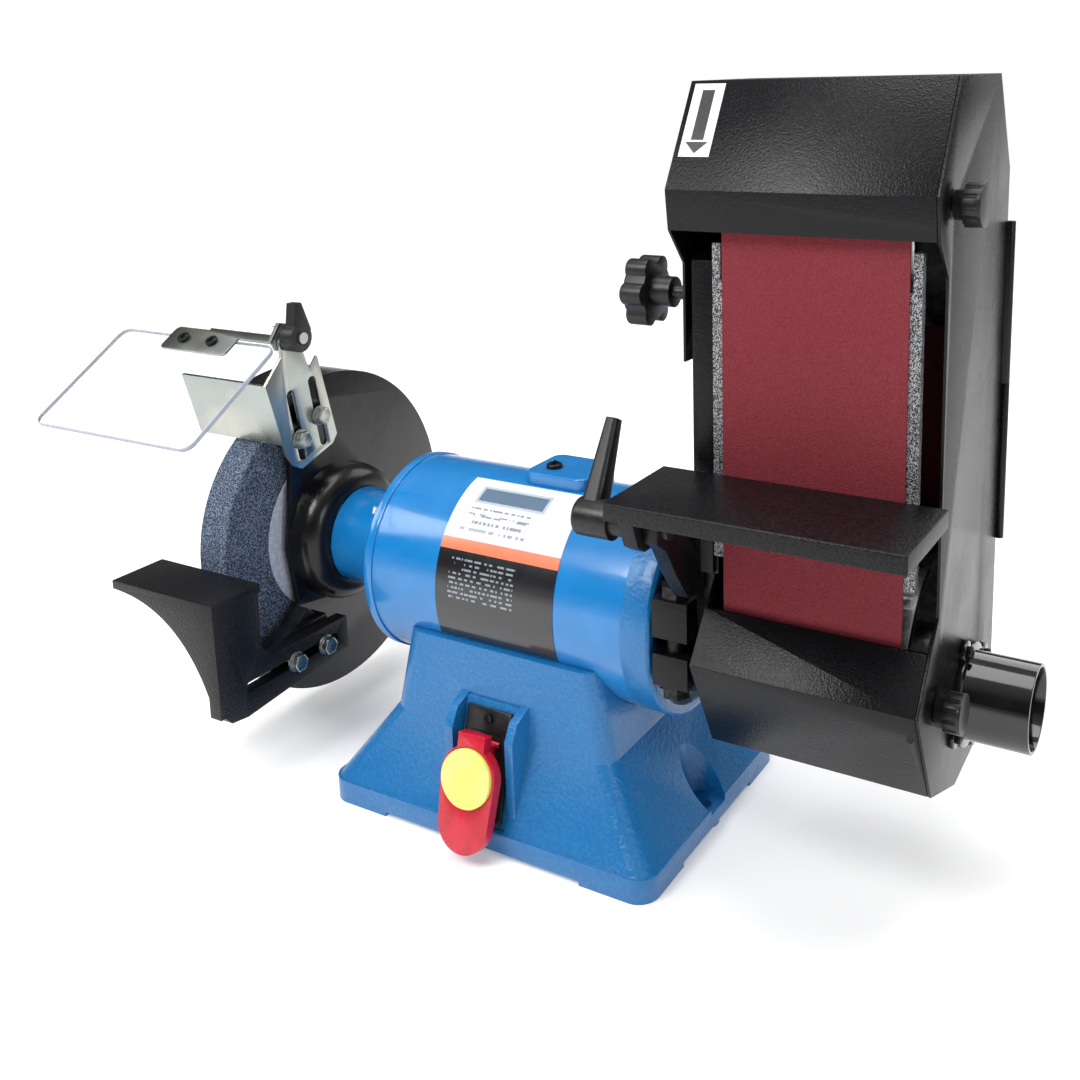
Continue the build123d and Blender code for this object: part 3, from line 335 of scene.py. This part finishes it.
def makeLabelMaterial(settings):
    material, tree, shader = startMaterial("printedLabel", Coat_Weight=0.6, Coat_Roughness=0.1)
    link = tree.links.new

    def combine(operation, a, b=None, clamp=False):
        node = addNode(tree, "ShaderNodeMath", operation=operation, use_clamp=clamp)
        for place, value in ((0, a), (1, b)):
            if isinstance(value, (int, float)):
                node.inputs[place].default_value = value
            elif value is not None:
                link(value, node.inputs[place])
        return node.outputs[0]

    def between(value, low, high):
        return combine("MULTIPLY", combine("GREATER_THAN", value, low), combine("LESS_THAN", value, high))

    def over(mask, under, colour):
        mix = addNode(tree, "ShaderNodeMix", data_type="RGBA")
        link(mask, mix.inputs["Factor"])
        if isinstance(under, tuple):
            mix.inputs[6].default_value = under
        else:
            link(under, mix.inputs[6])
        mix.inputs[7].default_value = colour
        return mix.outputs[2]

    where = addNode(tree, "ShaderNodeTexCoord")
    split = addNode(tree, "ShaderNodeSeparateXYZ")
    link(where.outputs["Object"], split.inputs[0])
    along = split.outputs["X"]
    height = combine("SUBTRACT", split.outputs["Z"], settings["axisHeight"])
    turn = combine("DEGREES", combine("ARCTAN2", height, combine("MULTIPLY", split.outputs["Y"], -1)))
    low, high = settings["orangeBand"]
    colour = over(combine("LESS_THAN", turn, high), settings["white"], settings["orange"])
    colour = over(combine("LESS_THAN", turn, low), colour, settings["black"])
    low, high, left, right = settings["badge"]
    rimTurn, rimAlong = settings["badgeRim"]
    outer = combine("MULTIPLY", between(turn, low, high), between(along, left, right))
    inner = combine("MULTIPLY", between(turn, low + rimTurn, high - rimTurn),
                  between(along, left + rimAlong, right - rimAlong))
    colour = over(outer, colour, settings["badgeEdge"])
    colour = over(inner, colour, settings["badgeColour"])
    dashes = addNode(tree, "ShaderNodeTexNoise")     # plain dashes stand in for small print
    stretch = addNode(tree, "ShaderNodeCombineXYZ")
    dash = settings["dashes"]
    link(combine("MULTIPLY", along, dash["scale"]), stretch.inputs[0])
    dashes.inputs["Scale"].default_value = 1
    dashes.inputs["Detail"].default_value = 0
    for low, high, pitch in settings["rows"]:
        step = combine("DIVIDE", turn, pitch)
        rowNumber = combine("FLOOR", step)
        link(combine("MULTIPLY", rowNumber, dash["rowStep"]), stretch.inputs[1])
        link(stretch.outputs[0], dashes.inputs["Vector"])
        line = combine("LESS_THAN", combine("FRACT", step), dash["height"])
        line = combine("MULTIPLY", line, combine("GREATER_THAN", dashes.outputs["Fac"], dash["share"]))
        line = combine("MULTIPLY", line, between(turn, low, high))
        line = combine("MULTIPLY", line, between(along, *settings["rowSpan"]))
        colour = over(line, colour, settings["ink"])
    link(colour, shader.inputs["Base Color"])
    addSkin(tree, shader, Grain=200, Depth=0.00001, Smoothest=0.2, Roughest=0.32)
    return material


materials["printedLabel"] = makeLabelMaterial(labelPrint)
print("finishes mixed")

nodeFinishes = {
    "blueEnamel": ("motor_shell", "left_end_cap", "top_cover"),
    "blueCast": ("base_casting", "right_end_cap"),
    "blackGloss": ("guard_casting", "guard_band", "guard_cover"),
    "blackWrinkle": ("upper_hood", "lower_hood", "rear_cover", "side_door", "arm_casting", "arm_adapter",
                     "table_bracket"),
    "blackTable": ("work_table", "tool_rest"),
    # platen: black hammered paint with painted reflection glints
    "hammertone": ("platen",),
    "zincPlate": ("rest_bolts", "deflector_bolts", "spark_deflector", "shield_pivot", "shield_arm", "base_plate",
                  "base_plate_screws", "tie_bolts", "tension_spring"),
    "turnedSteel": ("motor_shaft", "motor_bearings", "wheel_flanges", "spindle_nuts", "tension_carriage"),
    "blackSteel": ("guard_screws", "cover_screws", "port_screws", "clamp_bolt", "shield_screws"),
    "castAluminium": ("cooling_fan", "drive_pulley", "idler_pulley"),
    "lamination": ("rotor", "stator_core"),
    "copperWire": ("stator_windings",),
    "vitrifiedGrit": ("grinding_wheel",),
    "beltGrit": ("sanding_belt",),
    "blotterCard": ("wheel_blotters",),
    "clearAcrylic": ("eye_shield",),
    "printedLabel": ("rating_label",),
    "blackPlastic": ("wing_knob", "table_lever", "tracking_knob", "upper_door_knob", "lower_door_knob",
                     "switch_bezel", "switch_body", "cable_gland", "run_capacitor"),
    "blackGlossPlastic": ("dust_port",),
    "redPlastic": ("switch_paddle",),
    "yellowPlastic": ("safety_key",),
}


def dress(piece, finish):
    piece.data.materials.clear()
    piece.data.materials.append(materials[finish])


for finish, members in nodeFinishes.items():
    for member in members:
        dress(frame["nodes"][member], finish)
print("parts painted")


def pickOnly(piece):
    for other in bpy.context.selected_objects:
        other.select_set(False)
    piece.select_set(True)
    bpy.context.view_layer.objects.active = piece


def editAll(piece):
    pickOnly(piece)
    bpy.ops.object.mode_set(mode="EDIT")
    bpy.ops.mesh.select_all(action="SELECT")


def leaveEdit():
    bpy.ops.object.mode_set(mode="OBJECT")


def applyModifier(piece, kind, **settings):
    pickOnly(piece)
    modifier = piece.modifiers.new(kind, kind)
    for name, value in settings.items():
        setattr(modifier, name, value)
    bpy.ops.object.modifier_apply(modifier=modifier.name)


bodyOf = {member: body for body, members in frame["record"]["behaviour"]["bodies"].items() for member in members}


def settle(piece, like, finish, *replaced, smoothAngle=35):
    pickOnly(piece)
    bpy.ops.object.transform_apply(location=True, rotation=True, scale=True)
    bpy.ops.object.shade_smooth_by_angle(angle=math.radians(smoothAngle))
    dress(piece, finish)
    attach(piece, bodyOf[like])
    if replaced:
        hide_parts(*replaced)
    return piece


meshCleaning = {"mergeWithin": 0.000002, "flatAngle": 0.4}


def copyNode(node, name, recalculate=False):
    piece = bpy.data.objects.new(name, frame["nodes"][node].data.copy())
    bpy.context.scene.collection.objects.link(piece)
    editAll(piece)
    bpy.ops.mesh.customdata_custom_splitnormals_clear()
    bpy.ops.mesh.remove_doubles(threshold=meshCleaning["mergeWithin"])
    bpy.ops.mesh.dissolve_limited(angle_limit=math.radians(meshCleaning["flatAngle"]))
    if recalculate:
        bpy.ops.mesh.normals_make_consistent(inside=False)
    leaveEdit()
    return piece


def easeEdges(piece, radius, segments, angle, **settings):
    applyModifier(piece, "BEVEL", width=radius, segments=segments, limit_method="ANGLE",
                  angle_limit=math.radians(angle), **settings)


# node: (piece name, finish, edge radius, segments, sharpest angle left alone)
easedParts = {
    "base_casting": ("pedestalCasting", "blueCast", 0.0035, 3, 24),
    "top_cover": ("topCoverPlate", "blueEnamel", 0.0012, 3, 30),
    "left_end_cap": ("leftMotorCap", "blueEnamel", 0.0010, 2, 38),
    "right_end_cap": ("rightMotorCap", "blueCast", 0.0010, 2, 38),
    "guard_casting": ("guardInnerWall", "blackGloss", 0.0012, 2, 38),
    "guard_cover": ("guardOuterCover", "blackGloss", 0.0010, 2, 38),
    "tool_rest": ("toolRestCasting", "blackTable", 0.0022, 3, 32),
    "work_table": ("sanderTable", "blackTable", 0.0012, 3, 32),
    "table_bracket": ("tableBracketCasting", "blackWrinkle", 0.0012, 2, 32),
    "arm_casting": ("sanderArmCasting", "blackWrinkle", 0.0015, 2, 34),
    "upper_hood": ("upperSheetHood", "blackWrinkle", 0.0006, 2, 32),
    "lower_hood": ("lowerSheetHood", "blackWrinkle", 0.0006, 2, 32),
    "side_door": ("sideSheetDoor", "blackWrinkle", 0.0005, 2, 34),
    "rear_cover": ("rearSheetCover", "blackWrinkle", 0.0004, 2, 34),
    "dust_port": ("dustPortTube", "blackGlossPlastic", 0.0007, 2, 38),
    "tracking_knob": ("starKnob", "blackPlastic", 0.0012, 3, 34),
    "table_lever": ("ratchetLever", "blackPlastic", 0.0014, 3, 34),
    "upper_door_knob": ("upperThumbKnob", "blackPlastic", 0.0006, 2, 36),
    "lower_door_knob": ("lowerThumbKnob", "blackPlastic", 0.0006, 2, 36),
    "wing_knob": ("wingNut", "blackPlastic", 0.0018, 3, 34),
    "switch_bezel": ("switchFrame", "blackPlastic", 0.0006, 2, 34),
    "switch_paddle": ("stopPaddle", "redPlastic", 0.0016, 3, 34),
    "safety_key": ("roundKey", "yellowPlastic", 0.0010, 3, 34),
    "spark_deflector": ("sparkPlate", "zincPlate", 0.0005, 2, 32),
    "shield_arm": ("shieldBracket", "zincPlate", 0.0004, 2, 32),
    "drive_pulley": ("drivePulley", "castAluminium", 0.0008, 2, 38),
    "idler_pulley": ("idlerPulley", "castAluminium", 0.0008, 2, 38),
}


def easeNode(node, settings):
    name, finish, radius, segments, angle = settings
    piece = copyNode(node, name, recalculate=True)
    easeEdges(piece, radius, segments, angle, harden_normals=False, miter_outer="MITER_ARC")
    settle(piece, node, finish, node)


for node, settings in easedParts.items():
    easeNode(node, settings)
print("edges eased")


paneSettings = {"edgeRadius": 0.0006, "segments": 2, "sharpAngle": 50, "smoothAngle": 4, "faceShare": 0.99}


def makePane(settings):
    pane = copyNode("eye_shield", "shieldPane")
    widest = max(pane.data.polygons, key=lambda face: face.area).normal.copy()
    easeEdges(pane, settings["edgeRadius"], settings["segments"], settings["sharpAngle"])
    settle(pane, "eye_shield", "clearAcrylic", "eye_shield", smoothAngle=settings["smoothAngle"])
    pane.data.materials.append(materials["polishedEdge"])
    for face in pane.data.polygons:
        face.material_index = 0 if abs(face.normal.dot(widest)) > settings["faceShare"] else 1


makePane(paneSettings)

hexBoltSettings = {"washerRadius": 0.0070, "washer": 0.0012, "ringRadius": 0.0056, "ring": 0.0011,
                   "head": 0.0110, "headHeight": 0.0040, "shank": 0.0030, "rim": 0.0005,
                   "rimWidth": 0.0009, "dishWidth": 0.0012, "dishDepth": -0.0004,
                   "edgeRadius": 0.00025, "segments": 2, "sharpAngle": 30, "headDepth": 0.006}


def addRoundBar(radius, x0, x1, y, z, sides=40):
    bpy.ops.mesh.primitive_cylinder_add(vertices=sides, radius=radius, depth=x1 - x0,
                                        location=((x0 + x1) / 2, y, z), rotation=(0, math.pi / 2, 0))
    return bpy.context.object


def joinPieces(name, pieces):
    pickOnly(pieces[0])
    for piece in pieces:
        piece.select_set(True)
    bpy.ops.object.join()
    joined = bpy.context.object
    joined.name = name
    return joined


def addHexBolt(name, face, y, z, tail, settings):
    step = face + settings["washer"]
    washer = addRoundBar(settings["washerRadius"], face, step, y, z)
    ring = addRoundBar(settings["ringRadius"], step, step + settings["ring"], y, z, 32)
    headFrom = step + settings["ring"]
    headTo = headFrom + settings["headHeight"]
    head = addRoundBar(settings["head"] / 2 / math.cos(math.pi / 6), headFrom, headTo, y, z, 6)
    editAll(head)
    bpy.ops.mesh.select_all(action="DESELECT")
    leaveEdit()
    crown = max(head.data.polygons, key=lambda side: (head.matrix_world @ side.center).x)
    crown.select = True
    bpy.ops.object.mode_set(mode="EDIT")
    bpy.ops.mesh.select_mode(type="FACE")
    bpy.ops.mesh.inset(thickness=settings["rimWidth"], depth=0)
    bpy.ops.transform.translate(value=(settings["rim"], 0, 0))
    bpy.ops.mesh.inset(thickness=settings["dishWidth"], depth=settings["dishDepth"])
    leaveEdit()
    shank = addRoundBar(settings["shank"], tail, step, y, z, 24)
    bolt = joinPieces(name, [head, washer, ring, shank])
    easeEdges(bolt, settings["edgeRadius"], settings["segments"], settings["sharpAngle"])
    return bolt


def addBoltPair(node, name, corners):
    low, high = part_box(node)
    reach = hexBoltSettings["washerRadius"]
    face = high.x - hexBoltSettings["headDepth"]
    pair = []
    for number, (atY, atZ) in enumerate(corners, 1):
        y = low.y + reach if atY == "low" else high.y - reach
        z = low.z + reach if atZ == "low" else high.z - reach
        pair.append(addHexBolt(f"{name}{number}", face, y, z, low.x, hexBoltSettings))
    for number, bolt in enumerate(pair):
        settle(bolt, node, "zincPlate", *((node,) if number == 0 else ()))


# node: (piece name, finish, rim radius, way the heads face)
recessedScrews = {
    "shield_screws": ("shieldScrews", "blackSteel", 0.0010, (0, -0.5, 0.85)),
    "port_screws": ("portScrews", "blackSteel", 0.0009, (1, 0, 0)),
    "guard_screws": ("guardScrews", "blackSteel", 0.0011, (-1, 0, 0)),
    "cover_screws": ("coverScrews", "blackSteel", 0.0006, (0, -0.7, 0.7)),
}
recessSettings = {"span": 0.0040, "width": 0.0010, "depth": 0.0009, "segments": 3, "sharpAngle": 50,
                  "capCorners": 10, "capTurn": 0.3}


def cutCross(piece, centre, normal, settings):
    facing = normal.to_track_quat("Z", "Y").to_matrix()
    for turn in (0, math.pi / 2):
        bpy.ops.mesh.primitive_cube_add(size=1)
        bar = bpy.context.object
        bar.scale = (settings["span"], settings["width"], 2 * settings["depth"])
        bar.rotation_euler = (facing @ Matrix.Rotation(turn, 3, "Z")).to_euler()
        bar.location = centre
        pickOnly(bar)
        bpy.ops.object.transform_apply(location=True, rotation=True, scale=True)
        applyModifier(piece, "BOOLEAN", object=bar, operation="DIFFERENCE", solver="EXACT")
        bpy.data.objects.remove(bar, do_unlink=True)


def addRecessedScrews(node, settings):
    name, finish, radius, facing = settings
    piece = copyNode(node, name)
    caps = [(face.center.copy(), face.normal.copy()) for face in piece.data.polygons
            if len(face.vertices) > recessSettings["capCorners"]
            and face.normal.dot(Vector(facing)) > recessSettings["capTurn"]]
    easeEdges(piece, radius, recessSettings["segments"], recessSettings["sharpAngle"])
    for centre, normal in caps:
        cutCross(piece, centre, normal, recessSettings)
    settle(piece, node, finish, node)


for node, settings in recessedScrews.items():
    addRecessedScrews(node, settings)

stickerSettings = {
    "inset": 0.003,
    "drop": 0.002,
    "width": 0.018,
    "height": 0.044,
    "shaft": (0.0072, 0.030),
    "shaftLift": 0.003,
    "tip": (0.01326, 0.0078),
    "tipGap": 0.0005,
    "film": 0.00015,
}


def addFlatShape(kind, name, across, down, centre, facing, film):
    if kind == "bar":
        bpy.ops.mesh.primitive_plane_add(size=1)
    else:
        bpy.ops.mesh.primitive_circle_add(vertices=3, radius=1 / math.sqrt(3), fill_type="NGON",
                                          rotation=(0, 0, math.pi))
        bpy.ops.object.transform_apply(location=False, rotation=True, scale=False)
    shape = bpy.context.object
    shape.name = name
    shape.scale = (across, down, 1)
    shape.rotation_euler = facing.to_euler()
    shape.location = centre
    pickOnly(shape)
    bpy.ops.object.transform_apply(location=True, rotation=True, scale=True)
    applyModifier(shape, "SOLIDIFY", thickness=film, offset=0)
    return shape


def addSticker(settings):
    hood = bpy.data.objects["upperSheetHood"]
    slope = max((face for face in hood.data.polygons if face.normal.y < -0.5 and face.normal.z > 0.3),
                key=lambda face: face.area)
    corners = [hood.data.vertices[number].co for number in slope.vertices]
    highest = max(corners, key=lambda corner: corner.z)
    lowest = min(corners, key=lambda corner: corner.z)
    left = min(corner.x for corner in corners)
    down = Vector((0, lowest.y - highest.y, lowest.z - highest.z)).normalized()
    normal = slope.normal.copy()
    facing = Matrix(((1, 0, 0), -down, normal)).transposed()
    top = Vector((left + settings["inset"], highest.y, highest.z)) + down * settings["drop"]
    middle = top + Vector((settings["width"] / 2, 0, 0)) + down * (settings["height"] / 2)
    film = settings["film"]
    card = addFlatShape("bar", "arrowCard", settings["width"], settings["height"], middle + normal * film,
                        facing, film)
    settle(card, "upper_hood", "labelWhite")
    shaftWidth, shaftHeight = settings["shaft"]
    ink = middle + normal * 2 * film
    shaft = addFlatShape("bar", "arrowShaft", shaftWidth, shaftHeight, ink - down * settings["shaftLift"],
                         facing, film)
    tip = addFlatShape("tip", "arrowTip", *settings["tip"],
                       ink + down * (shaftHeight / 2 + settings["tipGap"]), facing, film)
    arrow = joinPieces("arrowMark", [shaft, tip])
    settle(arrow, "upper_hood", "labelInk")


addSticker(stickerSettings)
print("screws and sticker added")

addBoltPair("rest_bolts", "restBolt", (("low", "low"), ("high", "low")))
addBoltPair("deflector_bolts", "deflectorBolt", (("low", "low"), ("high", "high")))
print("bolts fitted")
